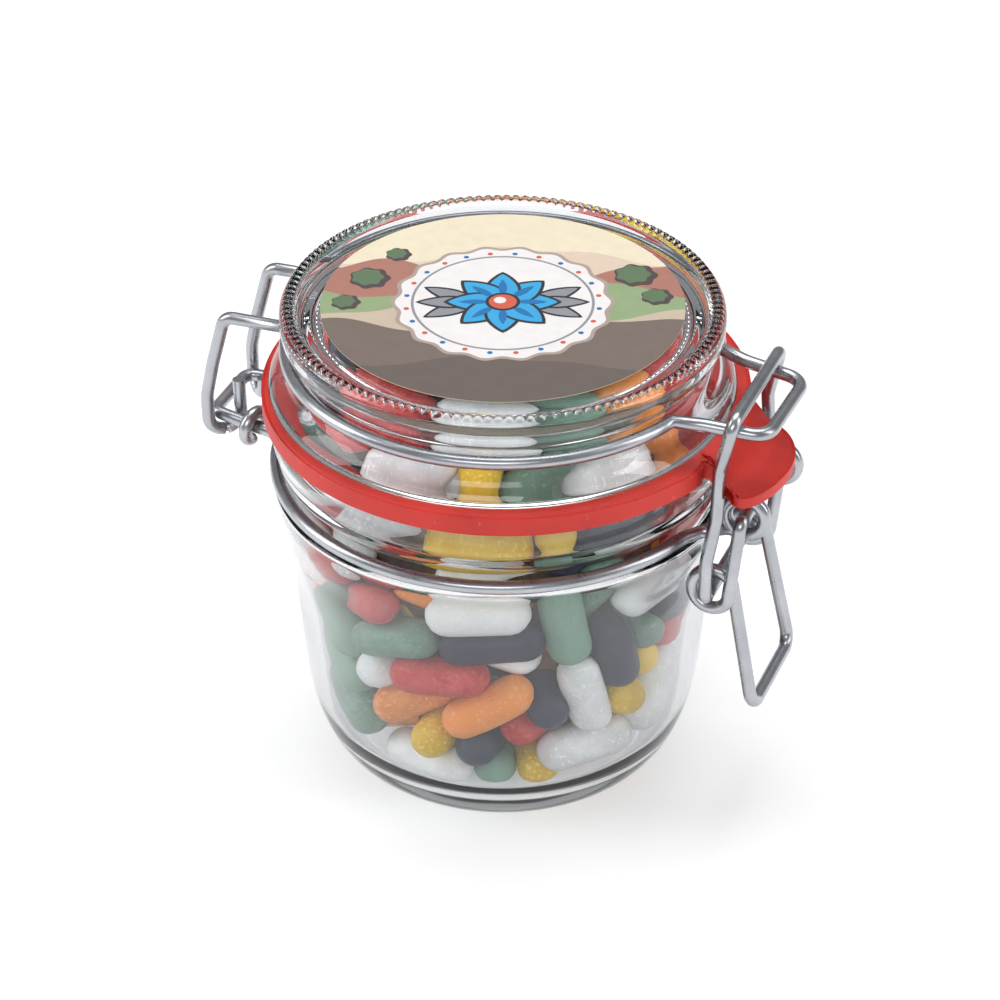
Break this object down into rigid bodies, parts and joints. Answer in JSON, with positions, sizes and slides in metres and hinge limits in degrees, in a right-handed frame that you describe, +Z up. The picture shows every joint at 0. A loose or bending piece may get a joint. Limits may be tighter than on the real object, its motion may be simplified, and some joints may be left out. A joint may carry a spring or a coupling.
{
  "type": "clip-top glass jar of candies",
  "caption": "Small clear glass storage jar filled with rod-shaped sugar-coated candies, its domed glass lid sealed on a red rubber ring and held shut by a wire clasp with a pull lever.",
  "frame": {"origin": "middle of the jar's flat foot, on the surface that it stands on", "axes": "+Z up along the jar's axis, +X from the lid's hinge towards the clasp, +Y to the left of the clasp seen from the hinge"},
  "size_m": [0.1124, 0.0886, 0.0936],
  "materials": {
    "clear_glass": "clear, smooth",
    "zinc_wire": "bright galvanised wire",
    "red_rubber": "matte",
    "label_paper": "printed paper, satin",
    "candy_sugar": "powdery sugar shell"
  },
  "bodies": {
    "jar_body": {"jar": "clear_glass", "lid": "clear_glass", "gasket": "red_rubber", "label": "label_paper", "candies": "candy_sugar", "lid_wire": "zinc_wire", "neck_wire": "zinc_wire"},
    "lever_body": {"lever": "zinc_wire"},
    "link_body": {"link": "zinc_wire"}
  },
  "joints": [
    {"name": "lever_hinge", "type": "hinge", "parent": "jar_body", "child": "lever_body", "pos_m": [0.0498, 0, 0.0656], "axis": [0, -1, 0], "range_deg": [0, 110], "deforming": ["gasket"]},
    {"name": "link_hinge", "type": "hinge", "parent": "lever_body", "child": "link_body", "pos_m": [0.0446, 0, 0.0495], "axis": [0, -1, 0], "range_deg": [-110, 0]}
  ],
  "couplings": [
    {"joint": "link_hinge", "follows": "lever_hinge", "ratio": -1}
  ]
}
